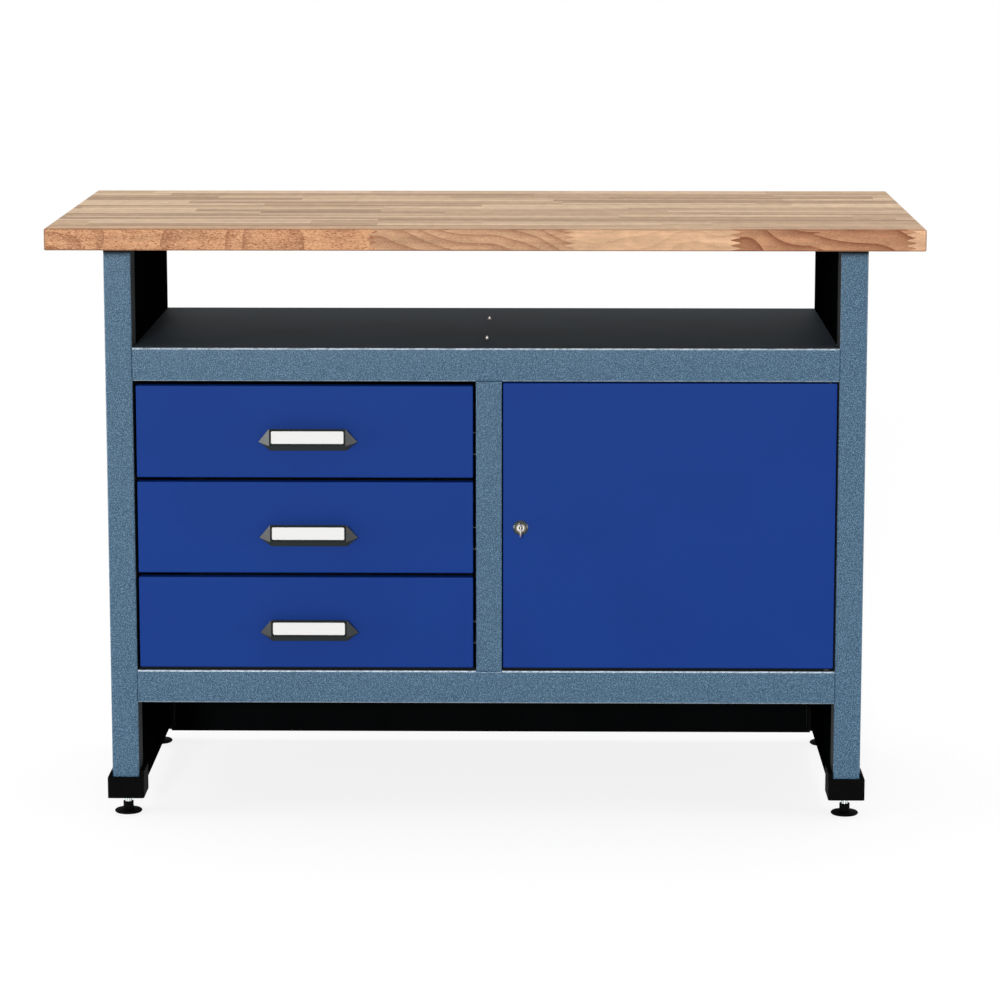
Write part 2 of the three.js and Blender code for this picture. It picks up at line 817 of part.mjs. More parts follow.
function levellingFoot() {
  return turnedZ([
    [0, 0],
    [padRadius - padEdge, 0],
    [padRadius, padEdge],
    [padRadius, padThickness - padEdge],
    [padRadius - padEdge, padThickness],
    [neckRadius, padCrown],
    [neckRadius, neckTop],
    [socketRadius, neckTop],
    [socketRadius, neckTop - socketDepth],
    [studRadius, neckTop - socketDepth],
    [studRadius, studTop],
    [0, studTop],
  ], roundSteps);
}

function buildCorner(end, side, x, y, turn) {
  buildLeg(`${end}_${side}_leg`, x, y, turn);
  const foot = addGroup(bench, x, y, 0);
  foot.rotation.z = turn;
  addPart(foot, `foot_cap_${end}_${side}`, footCap(Math.sign(x) * Math.cos(turn)), 'footPlastic');
  addPart(foot, `levelling_foot_${end}_${side}`, levellingFoot(), 'footPlastic');
}

buildWorktop();
buildCorner('front', 'left', -legX, -legY, 0);
buildCorner('front', 'right', legX, -legY, 0);
buildCorner('rear', 'left', -legX, legY, Math.PI);
buildCorner('rear', 'right', legX, legY, Math.PI);
buildRail('upper_rail', upperRailTop, upperRailBottom + frameSheet / 2);
buildRail('lower_rail', lowerRailTop, lowerRailTop - frameSheet / 2);
buildPost();
buildSide('left_side_panel', -1);
buildSide('right_side_panel', 1);
buildBack();
buildTray();
buildFloor();
buildPartition();
buildShelf();
for (let index = 0; index < drawerCount; index += 1) {
  buildDrawer(index);
}
buildDoor();
buildPins();
buildLock();

export default bench;
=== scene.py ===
"""Looks of a workbench: a beech block top on a hammertone steel frame, with a tool tray, three drawers and a cupboard.

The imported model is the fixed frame. This script gives every node a procedural finish, adds the small
fasteners, and sets the light and the camera of the photograph's view. Metres, +Z up, front towards -Y.
"""

import json
import math

import bmesh
import bpy
from mathutils import Matrix, Vector


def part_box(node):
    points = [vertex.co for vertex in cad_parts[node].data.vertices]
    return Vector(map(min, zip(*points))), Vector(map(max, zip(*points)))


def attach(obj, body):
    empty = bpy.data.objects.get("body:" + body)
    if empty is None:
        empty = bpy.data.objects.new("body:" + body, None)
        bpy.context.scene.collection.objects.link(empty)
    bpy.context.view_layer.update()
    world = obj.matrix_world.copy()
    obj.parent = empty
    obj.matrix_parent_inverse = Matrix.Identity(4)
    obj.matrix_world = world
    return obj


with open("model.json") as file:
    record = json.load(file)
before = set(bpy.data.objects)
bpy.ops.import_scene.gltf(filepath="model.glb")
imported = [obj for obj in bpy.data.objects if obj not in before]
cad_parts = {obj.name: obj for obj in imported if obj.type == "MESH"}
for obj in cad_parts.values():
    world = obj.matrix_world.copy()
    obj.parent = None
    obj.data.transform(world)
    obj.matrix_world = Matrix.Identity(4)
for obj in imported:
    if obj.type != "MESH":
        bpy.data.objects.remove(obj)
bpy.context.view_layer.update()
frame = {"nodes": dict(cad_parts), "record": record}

MM = 0.001
PER_METRE = 1000.0

# Camera: the photograph's view, with the lens axis tipped down instead of a shifted lens
CAMERA_PLACE = (0.0857, -5.2024, 1.3171)
CAMERA_PITCH_DOWN = 9.842
CAMERA_YAW_LEFT = 0.756
CAMERA_LENS = 130.2
SENSOR_WIDTH = 36.0

# Light: a low key from the front, a soft lamp above, a softbox at each end, and even surroundings
AMBIENT_LEVEL = 0.28
KEY_ENERGY = 2.0
KEY_ELEVATION = 12.0
KEY_FROM_LEFT = 6.0
KEY_SOFTNESS = 6.0
TOP_ENERGY = 1.4
TOP_ELEVATION = 98.0
TOP_SOFTNESS = 50.0
SOFTBOX_SIZE = 1.3
LEFT_SOFTBOX_PLACE = (-2.5, -0.5, 0.3)
LEFT_SOFTBOX_POWER = 38.0
RIGHT_SOFTBOX_PLACE = (2.5, -0.9, 0.4)
RIGHT_SOFTBOX_POWER = 20.0

# Floor disc, which fades into the white surroundings; the camera sees its glow and part of its paper
FLOOR_RADIUS = 8.0
FLOOR_FADE_START = 2.5
FLOOR_FADE_END = 7.0
FLOOR_STEPS = 96
FLOOR_PAPER = 0.4
FLOOR_SEEN_PAPER = 0.19
FLOOR_GLOW = 0.84

# Folded and turned faces closer than this angle are shaded as one round
SHARP_ANGLE = 35.0
WELD_DISTANCE = 0.000005

# Beech staves, in millimetres
STAVE_ROWS = 14
STAVE_LENGTH = 330.0
STAVE_STREAK = 11.0
FINGER_PITCH = 7.4
FINGER_LENGTH = 12.0
FINGER_TIP = 0.14
RING_PITCH = 4.6
ARRIS = 1.6

# The front row's staves: where each ends along the bench, its colour, and its shares of speckle and rings
FRONT_STAVES = [
    (-299, (203, 151, 112), 1.00, 0.60),
    (-148, (217, 162, 120), 0.90, 0.60),
    (118, (202, 159, 124), 0.35, 0.60),
    (345, (222, 180, 142), 0.16, 0.20),
    (583, (189, 138, 103), 0.30, 1.00),
    (600, (224, 178, 141), 0.30, 0.10),
]

# The tops are drawn paler and greyer than the front row's front: a painted sheen. The other rows' colours, dark to
# light
FRONT_ROW_TOP_WITH_SHEEN = (207, 178, 148)
STAVE_COLOURS = [
    (0.0, (183, 154, 127)),
    (0.3, (203, 173, 142)),
    (0.7, (219, 189, 156)),
    (1.0, (237, 209, 176)),
]

# Dome-headed screws: two in the tray, three up into the worktop through each side's top flange
TRAY_SCREW_X = 0.0005
TRAY_SCREW_Y = (0.093, -0.133)
TRAY_SCREW_SIZE = (0.0022, 0.0052)
TOP_SCREW_Y = (-0.130, 0.0, 0.130)
TOP_SCREW_SIZE = (0.0052, 0.0034)
SIDE_SHEET = 0.0012

# The slant at which the painted highlight sits on a rail's fold: the upward part of its facing, halfway round the bend
FOLD_SLANT = 0.6

# In millimetres: how far the post's welds reach onto the rails, and the worktop's painted shadow at the top end of
# each leg
WELD_REACH = 10.0
LEG_TOP_SHADOW = 12.0

# Rivets that hold the slides to the drawer walls
RIVET_SIZE = (0.0028, 0.0013)
RIVET_SHARES = (0.1, 0.5, 0.9)
DRAWER_SHEET = 0.001


# Colours and node trees

def linear(red, green, blue):
    """A colour written as it looks, 0 to 255, as the shaders want it."""
    def channel(value):
        share = value / 255
        return share / 12.92 if share <= 0.04045 else ((share + 0.055) / 1.055) ** 2.4
    return (channel(red), channel(green), channel(blue), 1.0)


def grey(level):
    return (level, level, level, 1.0)


class Finish:
    """One procedural material. Its texture lengths are millimetres in the bench's own frame."""

    def __init__(self, name):
        self.material = bpy.data.materials.new(name)
        self.material.use_nodes = True
        self.tree = self.material.node_tree
        self.shader = self.tree.nodes["Principled BSDF"]
        metres = self.add("ShaderNodeTexCoord").outputs["Object"]
        scaled = self.add("ShaderNodeVectorMath", {"Vector": metres, "Scale": PER_METRE}, operation="SCALE")
        self.place = scaled.outputs["Vector"]
        self.facing = self.add("ShaderNodeTexCoord").outputs["Normal"]

    def add(self, kind, values=None, **settings):
        node = self.tree.nodes.new(kind)
        for name, value in settings.items():
            setattr(node, name, value)
        for socket, value in (values or {}).items():
            self.feed(node.inputs[socket], value)
        return node

    def feed(self, socket, value):
        if isinstance(value, bpy.types.NodeSocket):
            self.tree.links.new(value, socket)
        else:
            socket.default_value = value

    def set(self, **values):
        """Sets inputs of the surface shader, by name with _ for a space."""
        for name, value in values.items():
            self.feed(self.shader.inputs[name.replace("_", " ")], value)

    def math(self, operation, first, second=0.0, third=0.0):
        node = self.add("ShaderNodeMath", {0: first, 1: second, 2: third}, operation=operation)
        return node.outputs[0]

    def axes(self, vector=None):
        node = self.add("ShaderNodeSeparateXYZ", {0: vector or self.place})
        return node.outputs[0], node.outputs[1], node.outputs[2]

    def distance(self, first, second):
        """How far a point is from an axis, from its two offsets."""
        squares = self.math("ADD", self.math("MULTIPLY", first, first), self.math("MULTIPLY", second, second))
        return self.math("SQRT", squares)

    def stretched(self, lengths):
        """The place divided by a length along each axis, so that a texture has that grain size."""
        return self.add("ShaderNodeVectorMath", {0: self.place, 1: lengths}, operation="DIVIDE").outputs[0]

    def noise(self, lengths, detail=2.0, roughness=0.5):
        values = {"Vector": self.stretched(lengths), "Scale": 1.0, "Detail": detail, "Roughness": roughness}
        return self.add("ShaderNodeTexNoise", values).outputs[0]

    def cells(self, size, feature="F1"):
        values = {"Vector": self.stretched((size, size, size)), "Scale": 1.0}
        return self.add("ShaderNodeTexVoronoi", values, feature=feature)

    def ramp(self, factor, stops, interpolation="LINEAR"):
        node = self.add("ShaderNodeValToRGB", {0: factor})
        node.color_ramp.interpolation = interpolation
        elements = node.color_ramp.elements
        while len(elements) < len(stops):
            elements.new(0.5)
        for element, (position, colour) in zip(elements, stops):
            element.position = position
            element.color = colour
        return node.outputs["Color"]

    def span(self, value, low, high, to_low=0.0, to_high=1.0):
        """A value's range moved to another one, held at its ends."""
        return self.add("ShaderNodeMapRange", {0: value, 1: low, 2: high, 3: to_low, 4: to_high}).outputs[0]

    def blend(self, factor, first, second, kind="MIX"):
        node = self.add("ShaderNodeMix", data_type="RGBA", blend_type=kind)
        self.feed(node.inputs[0], factor)
        self.feed(node.inputs[6], first)
        self.feed(node.inputs[7], second)
        return node.outputs[2]

    def brightened(self, colour, factor):
        return self.add("ShaderNodeVectorMath", {"Vector": colour, "Scale": factor}, operation="SCALE").outputs[0]

    def bump(self, height, depth, strength=1.0):
        """A relief of that depth in millimetres."""
        values = {"Height": height, "Distance": depth * MM, "Strength": strength}
        self.set(Normal=self.add("ShaderNodeBump", values).outputs[0])


# Finishes

def beech():
    wood = Finish("beech")
    low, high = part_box("worktop")
    length, depth, thickness = (high - low) * PER_METRE
    middle_height = (high.z + low.z) / 2 * PER_METRE
    stave_width = depth / STAVE_ROWS
    x, y, z = wood.axes()

    # Rows of staves, with fingers where two staves of a row meet
    across = wood.math("DIVIDE", wood.math("ADD", y, depth / 2), stave_width)
    row = wood.math("FLOOR", across)
    tooth = wood.math("DIVIDE", wood.math("PINGPONG", z, FINGER_PITCH / 2), FINGER_PITCH / 2)
    finger = wood.math("MULTIPLY", wood.span(tooth, FINGER_TIP, 1 - FINGER_TIP), FINGER_LENGTH)
    from_end = wood.math("SUBTRACT", length / 2, wood.math("ABSOLUTE", x))
    along = wood.math("MULTIPLY_ADD", finger, wood.span(from_end, 0.3 * FINGER_LENGTH, 0.8 * FINGER_LENGTH), x)

    # The front row follows its list, and the other rows are drawn by lot
    share = wood.math("DIVIDE", wood.math("ADD", along, length / 2), length)
    starts = [0.0] + [(stave[0] + length / 2) / length for stave in FRONT_STAVES[:-1]]
    front_colour = wood.ramp(share, list(zip(starts, [linear(*stave[1]) for stave in FRONT_STAVES])), "CONSTANT")
    front_speckle = wood.ramp(share, list(zip(starts, [grey(stave[2]) for stave in FRONT_STAVES])), "CONSTANT")
    front_rings = wood.ramp(share, list(zip(starts, [grey(stave[3]) for stave in FRONT_STAVES])), "CONSTANT")
    step = wood.math("MULTIPLY_ADD", row, 13.37, wood.math("DIVIDE", along, STAVE_LENGTH))
    lot = wood.add("ShaderNodeTexVoronoi", {"W": step, "Scale": 1.0}, voronoi_dimensions="1D").outputs["Color"]
    lot_x, lot_y, lot_z = wood.axes(lot)
    other_colour = wood.ramp(lot_x, [(place, linear(*colour)) for place, colour in STAVE_COLOURS])
    in_front_row = wood.math("LESS_THAN", row, 0.5)
    on_front = wood.math("LESS_THAN", y, ARRIS - depth / 2)
    on_end = wood.math("LESS_THAN", from_end, 0.5 * ARRIS)
    # On the front row's top the paler colour stands in for sheen: painted sheen
    front_row_and_sheen = wood.blend(wood.span(on_front, 0, 1, 0.75, 0), front_colour, linear(*FRONT_ROW_TOP_WITH_SHEEN))
    base = wood.blend(in_front_row, other_colour, front_row_and_sheen)
    speckle_share = wood.blend(on_front, wood.span(lot_y, 0, 1, 0.15, 0.4), front_speckle)
    ring_share = wood.blend(on_front, wood.span(lot_z, 0, 1, 0.1, 0.4), front_rings)
    ring_share = wood.blend(on_end, ring_share, grey(0.55))

    # Year rings about a pith of each stave's own, each ring darkest at its outer edge
    seed_source = wood.blend(in_front_row, lot, front_colour)
    seed = wood.add("ShaderNodeTexWhiteNoise", {"Vector": seed_source}, noise_dimensions="3D")
    seed_x, seed_y, seed_z = wood.axes(seed.outputs["Color"])
    slope = wood.span(seed_z, 0, 1, -0.08, 0.08)
    pith_y = wood.math("MULTIPLY_ADD", x, slope, wood.span(seed_x, 0, 1, -28, 28))
    pith_z = wood.span(seed_y, 0, 1, -110, -20)
    offset_y = wood.math("SUBTRACT", wood.math("SUBTRACT", y, wood.math("MULTIPLY", row, stave_width)), pith_y)
    offset_z = wood.math("SUBTRACT", wood.math("SUBTRACT", z, middle_height), pith_z)
    wander = wood.noise((230, 300, 300), 2)
    ring_place = wood.math("MULTIPLY_ADD", wander, 60.0, wood.distance(offset_y, offset_z))
    late_wood = wood.math("POWER", wood.math("FRACT", wood.math("DIVIDE", ring_place, RING_PITCH)), 2.5)

    # Streaks along the stave, fibres, and the short flecks of beech
    streak = wood.noise((260, 13, 11), 3, 0.6)
    fibre = wood.noise((45, 0.9, 0.9), 3, 0.65)
    fleck = wood.noise((3.4, 1.4, 1.4), 2, 0.6)
    dark_fleck = wood.math("MULTIPLY", wood.span(fleck, 0.33, 0.44, 1, 0), speckle_share)
    pale_fleck = wood.math("MULTIPLY", wood.span(fleck, 0.55, 0.66), speckle_share)
    mottle = wood.noise((17, 44, 7), 2, 0.6)

    shade = wood.brightened(base, wood.span(on_end, 0, 1, 1, 0.82))
    shade = wood.brightened(shade, wood.span(streak, 0.3, 0.7, 0.8, 1.16))
    shade = wood.brightened(shade, wood.span(fibre, 0.3, 0.7, 0.92, 1.06))
    shade = wood.brightened(shade, wood.span(mottle, 0.3, 0.7, 0.91, 1.09))
    shade = wood.blend(wood.math("MULTIPLY", late_wood, ring_share), shade, linear(128, 72, 46))
    shade = wood.blend(wood.math("MULTIPLY", dark_fleck, 0.9), shade, linear(136, 74, 44))
    shade = wood.blend(wood.math("MULTIPLY", pale_fleck, 0.4), shade, linear(250, 206, 164))

    # Some staves have a dark or a pale streak along one edge
    from_edge = wood.math("MULTIPLY", wood.math("FRACT", across), stave_width)
    on_edge = wood.span(from_edge, 0.6 * STAVE_STREAK, STAVE_STREAK, 0.75, 0)
    plain = wood.math("MAXIMUM", in_front_row, on_end)
    streaked = wood.math("MULTIPLY", on_edge, wood.math("SUBTRACT", 1.0, plain))
    dark_streak = wood.math("MULTIPLY", streaked, wood.math("LESS_THAN", lot_z, 0.33))
    pale_streak = wood.math("MULTIPLY", streaked, wood.math("GREATER_THAN", lot_z, 0.7))
    shade = wood.blend(dark_streak, shade, linear(138, 108, 82))
    shade = wood.blend(pale_streak, shade, linear(240, 214, 184))

    # The arrises are darker, where two of the block's faces meet; along the lower arrises this is painted shade
    sides = ((x, length / 2), (y, depth / 2), (wood.math("SUBTRACT", z, middle_height), thickness / 2))
    near = [wood.math("GREATER_THAN", wood.math("ABSOLUTE", place), half - ARRIS) for place, half in sides]
    faces = wood.math("ADD", wood.math("ADD", near[0], near[1]), near[2])
    shade = wood.blend(wood.math("MULTIPLY", wood.math("GREATER_THAN", faces, 1.5), 0.45), shade, linear(112, 72, 48))

    wood.set(Base_Color=shade, Roughness=wood.span(fibre, 0.3, 0.7, 0.78, 0.68), Specular_IOR_Level=0.2)
    wood.bump(wood.math("SUBTRACT", fibre, dark_fleck), 0.06, 0.5)
    return wood.material


def hammertone():
    """Blue-grey hammer paint of glossy small dimples, with a painted highlight on the rails' folds and painted shade
    inside the folds and under the worktop.
    """
    paint = Finish("hammertone")
    leg_low, leg_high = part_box("front_right_leg")
    leg_middle = (leg_low.x + leg_high.x) / 2 * PER_METRE
    dimple = paint.cells(1.1, "SMOOTH_F1").outputs["Distance"]
    swirl = paint.noise((1.4, 1.4, 1.4), 2, 0.6)
    relief = paint.math("MULTIPLY_ADD", swirl, 0.7, dimple)
    colour = paint.ramp(
        paint.span(relief, 0.5, 1.0),
        [(0.0, linear(15, 46, 70)), (0.5, linear(52, 87, 113)), (1.0, linear(100, 135, 160))],
    )
    x, y, z = paint.axes()
    facing_x, facing_y, facing_z = paint.axes(paint.facing)

    # Along the rails' folds a painted highlight in pale dashes, brightest on the upward folds; the post's weld is
    # painted over and has none
    post_low, post_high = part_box("centre_post")
    post_middle = (post_low.x + post_high.x) / 2 * PER_METRE
    post_half = (post_high.x - post_low.x) / 2 * PER_METRE
    from_post = paint.math("ABSOLUTE", paint.math("SUBTRACT", x, post_middle))
    past_post = paint.math("GREATER_THAN", from_post, post_half)
    above_post = paint.math("GREATER_THAN", z, post_high.z * PER_METRE + WELD_REACH)
    below_post = paint.math("LESS_THAN", z, post_low.z * PER_METRE - WELD_REACH)
    off_weld = paint.math("MAXIMUM", past_post, paint.math("MAXIMUM", above_post, below_post))
    from_slant = paint.math("ABSOLUTE", paint.math("SUBTRACT", paint.math("ABSOLUTE", facing_z), FOLD_SLANT))
    on_fold = paint.span(from_slant, 0.25, 0.4, 1, 0)
    dash = paint.span(paint.noise((5, 3, 3), 2), 0.36, 0.56, 0.35, 1)
    # The mask of the pale dashes of painted highlight along the folds, strongest where they face up
    painted_fold_highlight = paint.math("MULTIPLY", paint.math("MULTIPLY", dash, off_weld), paint.span(facing_z, -0.2, 0.2, 0.4, 1))
    colour = paint.blend(paint.math("MULTIPLY", on_fold, painted_fold_highlight), colour, linear(205, 220, 232))
    on_weld = paint.math("MULTIPLY", on_fold, paint.math("SUBTRACT", 1.0, off_weld))

    # Inside the folds and close under the worktop the paint is dull and darkened: painted shade, and at the legs' tops
    # the worktop's painted shadow
    to_front_or_rear = paint.span(paint.math("ABSOLUTE", facing_y), 0.25, 0.45)
    at_end = paint.math("GREATER_THAN", paint.math("ABSOLUTE", x), leg_middle)
    leg_top = leg_high.z * PER_METRE
    clear_of_painted_top_shadow = paint.span(z, leg_top - LEG_TOP_SHADOW, leg_top - 0.7 * LEG_TOP_SHADOW, 1, 0)
    clear_of_painted_shade = paint.math("MULTIPLY", paint.math("MAXIMUM", to_front_or_rear, at_end), clear_of_painted_top_shadow)
    dull = paint.math("MAXIMUM", on_weld, paint.math("SUBTRACT", 1.0, clear_of_painted_shade))
    paint.set(Base_Color=paint.blend(clear_of_painted_shade, linear(18, 24, 29), colour))
    paint.set(Roughness=paint.blend(dull, paint.span(swirl, 0.3, 0.7, 0.18, 0.28), grey(0.95)))
    paint.set(Specular_IOR_Level=0.4)
    paint.bump(relief, 0.16, 0.7)
    return paint.material


def powder_coat(name, colour, deeper, roughness, gloss, peel=0.02):
    """A baked spray paint: even, with a faint orange peel and a slow drift in tone."""
    paint = Finish(name)
    drift = paint.noise((140, 140, 140), 2)
    peel_noise = paint.noise((1.6, 1.6, 1.6), 2)
    shade = paint.blend(paint.span(drift, 0.35, 0.65), linear(*colour), linear(*deeper))
    paint.set(Base_Color=shade, Roughness=paint.span(peel_noise, 0.3, 0.7, roughness, roughness + 0.08))
    paint.set(Specular_IOR_Level=gloss)
    paint.bump(peel_noise, peel, 0.5)
    return paint.material


def black_paint():
    """Black powder coat: satin outside and in the cupboard; under the worktop and below the cabinet it is dull and
    drawn darker, a painted shade.
    """
    paint = Finish("black_paint")
    peel_noise = paint.noise((1.6, 1.6, 1.6), 2)
    drift = paint.noise((90, 90, 90), 3)
    x, y, z = paint.axes()
    facing_x, facing_y, facing_z = paint.axes(paint.facing)
    sheet_middle = SIDE_SHEET / 2
    rear_limit = (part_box("back_panel")[0].y + sheet_middle) * PER_METRE
    side_limit = (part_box("right_side_panel")[0].x + sheet_middle) * PER_METRE
    floor_level = (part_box("cabinet_floor")[1].z - sheet_middle) * PER_METRE
    tray_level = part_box("tool_tray")[1].z * PER_METRE

    to_rear = paint.math("MULTIPLY", paint.math("GREATER_THAN", y, rear_limit), paint.math("GREATER_THAN", facing_y, 0.5))
    beyond_side = paint.math("GREATER_THAN", paint.math("ABSOLUTE", x), side_limit)
    to_side = paint.math("MULTIPLY", beyond_side, paint.math("GREATER_THAN", paint.math("ABSOLUTE", facing_x), 0.5))
    above_floor = paint.math("GREATER_THAN", z, floor_level)
    in_cabinet = paint.math("MULTIPLY", above_floor, paint.math("LESS_THAN", z, tray_level))
    satin = paint.math("MAXIMUM", in_cabinet, paint.math("MAXIMUM", to_rear, to_side))
    satin_shade = paint.blend(paint.span(drift, 0.35, 0.65), linear(22, 23, 25), linear(28, 29, 31))
    # Faces under the worktop and below the cabinet get a darker black than the satin faces: painted shade
    painted_shade_black = paint.blend(paint.span(drift, 0.35, 0.65), linear(7, 8, 9), linear(10, 11, 12))
    paint.set(Base_Color=paint.blend(satin, painted_shade_black, satin_shade))
    paint.set(Roughness=paint.span(peel_noise, 0.3, 0.7, 0.88, 0.96), Specular_IOR_Level=0.0)
    paint.set(Coat_Weight=paint.math("MULTIPLY", satin, 0.5), Coat_Roughness=0.4)
    paint.bump(peel_noise, 0.02, 0.5)
    return paint.material


def plated(name, colour, dull, roughness, grain):
    """Plated metal: fine drawn lines and small cloudy patches."""
    metal = Finish(name)
    cloud = metal.noise((9, 9, 9), 3)
    line = metal.noise(grain, 2)
    shade = metal.blend(metal.span(cloud, 0.35, 0.65), linear(*colour), linear(*dull))
    metal.set(Base_Color=shade, Metallic=1.0)
    metal.set(Roughness=metal.span(line, 0.3, 0.7, roughness, roughness + 0.12))
    metal.bump(line, 0.01, 0.4)
    return metal.material


def lock_metal(name, inner, outer, limit):
    """Nickel with turned rings about the lock's axis: one tone inside the limit radius, another outside."""
    metal = Finish(name)
    low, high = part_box("lock_plug")
    x, y, z = metal.axes()
    offset_x = metal.math("SUBTRACT", x, (low.x + high.x) / 2 * PER_METRE)
    offset_z = metal.math("SUBTRACT", z, (low.z + high.z) / 2 * PER_METRE)
    radius = metal.distance(offset_x, offset_z)
    turned = metal.math("PINGPONG", metal.math("MULTIPLY_ADD", metal.noise((2, 2, 2), 2), 0.15, radius), 0.12)
    shade = metal.blend(metal.math("LESS_THAN", radius, limit), linear(*outer), linear(*inner))
    metal.set(Base_Color=shade, Metallic=1.0, Roughness=metal.span(turned, 0, 0.12, 0.22, 0.34))
    metal.bump(turned, 0.02, 0.4)
    return metal.material


def moulded(name, colour, worn, roughness, gloss, grain):
    """Moulded plastic: a fine eroded grain, a little paler where it is rubbed."""
    plastic = Finish(name)
    pebble = plastic.cells(grain, "SMOOTH_F1").outputs["Distance"]
    cloud = plastic.noise((12, 12, 12), 3)
    shade = plastic.blend(plastic.span(cloud, 0.4, 0.75), linear(*colour), linear(*worn))
    plastic.set(Base_Color=shade, Roughness=plastic.span(cloud, 0.3, 0.7, roughness, roughness + 0.1))
    plastic.set(Specular_IOR_Level=gloss)
    plastic.bump(pebble, 0.03, 0.5)
    return plastic.material


def handle_plastic():
    """Dark moulded plastic: half-gloss in front and at the ends, with a paler matt grip for the fingers underneath."""
    plastic = Finish("handle_plastic")
    pebble = plastic.cells(0.8, "SMOOTH_F1").outputs["Distance"]
    cloud = plastic.noise((12, 12, 12), 3)
    facing_x, facing_y, facing_z = plastic.axes(plastic.facing)
    grip = plastic.span(facing_z, -0.5, -0.2, 1, 0)
    pointed_end = plastic.span(plastic.math("ABSOLUTE", facing_x), 0.2, 0.35)
    front_shade = plastic.blend(cloud, linear(22, 27, 27), linear(27, 32, 31))
    grip_shade = plastic.blend(pebble, linear(66, 72, 68), linear(54, 60, 57))
    plastic.set(Base_Color=plastic.blend(grip, front_shade, grip_shade))
    plastic.set(Roughness=plastic.span(grip, 0, 1, 0.3, 0.95), Specular_IOR_Level=0.1)
    plastic.set(Coat_Weight=plastic.math("MULTIPLY", pointed_end, 0.55), Coat_Roughness=0.3)
    plastic.bump(pebble, 0.03, 0.5)
    return plastic.material


def label_card():
    card = Finish("label_card")
    fibre = card.noise((0.5, 0.5, 0.5), 3, 0.7)
    shade = card.blend(card.span(fibre, 0.3, 0.7), linear(226, 226, 224), linear(233, 233, 232))
    card.set(Base_Color=shade, Roughness=card.span(fibre, 0.3, 0.7, 0.5, 0.6))
    card.set(Coat_Weight=0.25, Coat_Roughness=0.15)
    card.bump(fibre, 0.01, 0.3)
    return card.material


def levelling_foot():
    """Black plastic pad and neck, with the zinc-plated stud that stands in the neck's socket."""
    foot = Finish("levelling_foot")
    low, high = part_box("levelling_foot_rear_right")
    stud_limit = 5.6
    socket_floor = 13.0
    x, y, z = foot.axes()
    offset_x = foot.math("SUBTRACT", foot.math("ABSOLUTE", x), (low.x + high.x) / 2 * PER_METRE)
    offset_y = foot.math("SUBTRACT", foot.math("ABSOLUTE", y), (low.y + high.y) / 2 * PER_METRE)
    near_axis = foot.math("LESS_THAN", foot.distance(offset_x, offset_y), stud_limit)
    on_stud = foot.math("MULTIPLY", near_axis, foot.math("GREATER_THAN", z, socket_floor))
    pebble = foot.cells(0.9, "SMOOTH_F1").outputs["Distance"]
    thread = foot.math("PINGPONG", z, 0.75)
    cloud = foot.noise((9, 9, 9), 3)
    plastic_shade = foot.blend(cloud, linear(5, 5, 5), linear(10, 10, 10))
    zinc_shade = foot.blend(cloud, linear(206, 214, 210), linear(176, 184, 182))
    foot.set(Base_Color=foot.blend(on_stud, plastic_shade, zinc_shade), Metallic=on_stud)
    foot.set(Roughness=foot.span(on_stud, 0, 1, 0.7, 0.3), Specular_IOR_Level=0.03)
    relief = foot.math("MULTIPLY_ADD", foot.math("MULTIPLY", thread, on_stud), 8.0, pebble)
    foot.bump(relief, 0.04, 0.5)
    return foot.material


FINISHES = {
    "beech": beech(),
    "hammertone": hammertone(),
    "blue_paint": powder_coat("blue_paint", (18, 56, 132), (17, 54, 130), 0.42, 0.08),
    "black_paint": black_paint(),
    "tray_paint": powder_coat("tray_paint", (51, 62, 73), (45, 55, 64), 0.6, 0.04),
    "galvanised": plated("galvanised", (188, 191, 194), (164, 168, 172), 0.3, (24, 0.5, 0.5)),
    "handle_plastic": handle_plastic(),
    "label_card": label_card(),
    "nickel": plated("nickel", (220, 214, 208), (200, 194, 188), 0.34, (0.6, 0.6, 0.6)),
    "foot_plastic": moulded("foot_plastic", (5, 5, 5), (9, 9, 9), 0.7, 0.03, 0.9),
}

# Nodes whose finish differs over their own form
NODE_FINISHES = {
    "lock_housing": lock_metal("lock_housing", (112, 114, 106), (68, 70, 67), 6.8),
    # The plug's near-black middle is painted shade: the keyway's hollow drawn as a dark disc
    "lock_plug": lock_metal("lock_plug", (18, 16, 18), (214, 211, 203), 2.9),
    "key": plated("key", (168, 160, 160), (146, 140, 140), 0.42, (0.6, 0.6, 0.6)),
}
foot_finish = levelling_foot()
NODE_FINISHES.update({name: foot_finish for name in frame["nodes"] if name.startswith("levelling_foot")})


def smooth_rounds():
    """A modifier's node group: welds the mesh and shades it smooth, except at edges past SHARP_ANGLE."""
    group = bpy.data.node_groups.new("smooth_rounds", "GeometryNodeTree")
    for direction in ("INPUT", "OUTPUT"):
        group.interface.new_socket("Geometry", in_out=direction, socket_type="NodeSocketGeometry")
    new = group.nodes.new
    link = group.links.new
    start = new("NodeGroupInput")
    weld = new("GeometryNodeMergeByDistance")
    weld.inputs["Distance"].default_value = WELD_DISTANCE
    smooth = new("GeometryNodeSetShadeSmooth")
    angle = new("GeometryNodeInputMeshEdgeAngle")
    past = new("ShaderNodeMath")
    past.operation = "GREATER_THAN"
    past.inputs[1].default_value = math.radians(SHARP_ANGLE)
    sharp = new("GeometryNodeSetShadeSmooth")
    sharp.domain = "EDGE"
    sharp.inputs["Shade Smooth"].default_value = False
    end = new("NodeGroupOutput")
    link(start.outputs[0], weld.inputs["Geometry"])
    link(weld.outputs[0], smooth.inputs["Geometry"])
    link(smooth.outputs[0], sharp.inputs["Geometry"])
    link(angle.outputs["Unsigned Angle"], past.inputs[0])
    link(past.outputs[0], sharp.inputs["Selection"])
    link(sharp.outputs[0], end.inputs[0])
    return group


